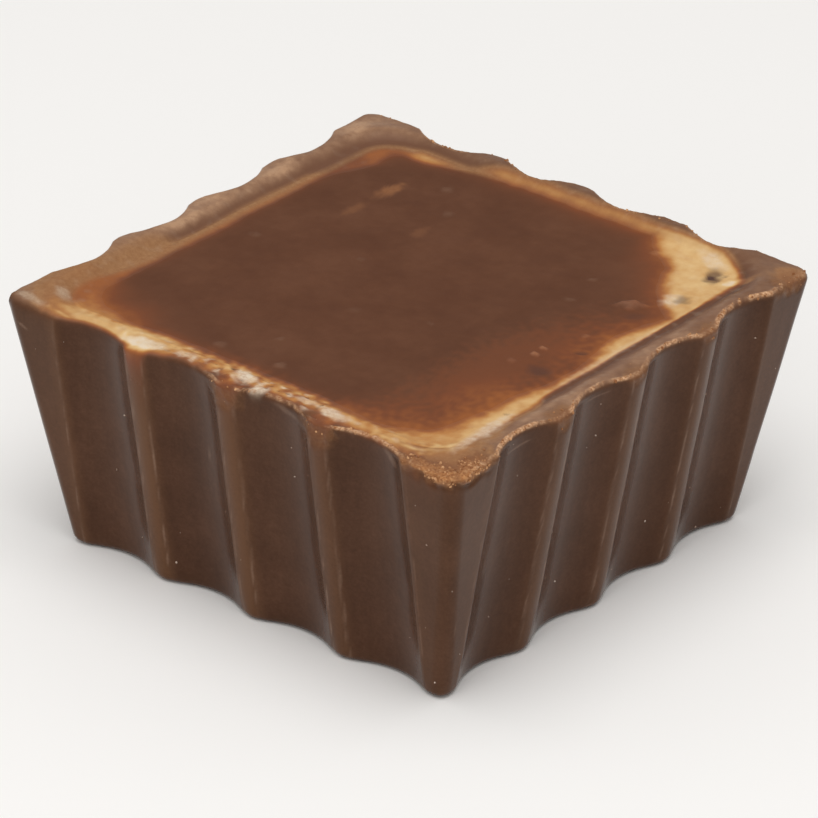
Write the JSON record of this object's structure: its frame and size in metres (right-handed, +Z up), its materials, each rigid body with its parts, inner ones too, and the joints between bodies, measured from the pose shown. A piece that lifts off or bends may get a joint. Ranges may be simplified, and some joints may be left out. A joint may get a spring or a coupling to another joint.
{
  "type": "filled milk chocolate square",
  "caption": "Moulded milk chocolate square with tapered fluted sides, a pale filling showing round its open top and a thin brown coat over it, a sweet to eat.",
  "frame": {"origin": "centre of the base, on the surface it stands on", "axes": "+Z up through the open top, +X to the right and +Y to the back, with the front side facing -Y"},
  "size_m": [0.03, 0.03, 0.0145],
  "materials": {
    "milk_chocolate": "satin moulded milk chocolate, scraped rougher on the rim",
    "pale_filling": "pale cream, soft satin",
    "brown_coat": "smooth satin brown"
  },
  "bodies": {
    "root": {"shell": "milk_chocolate", "filling": "pale_filling", "top_coat": "brown_coat"}
  },
  "joints": []
}
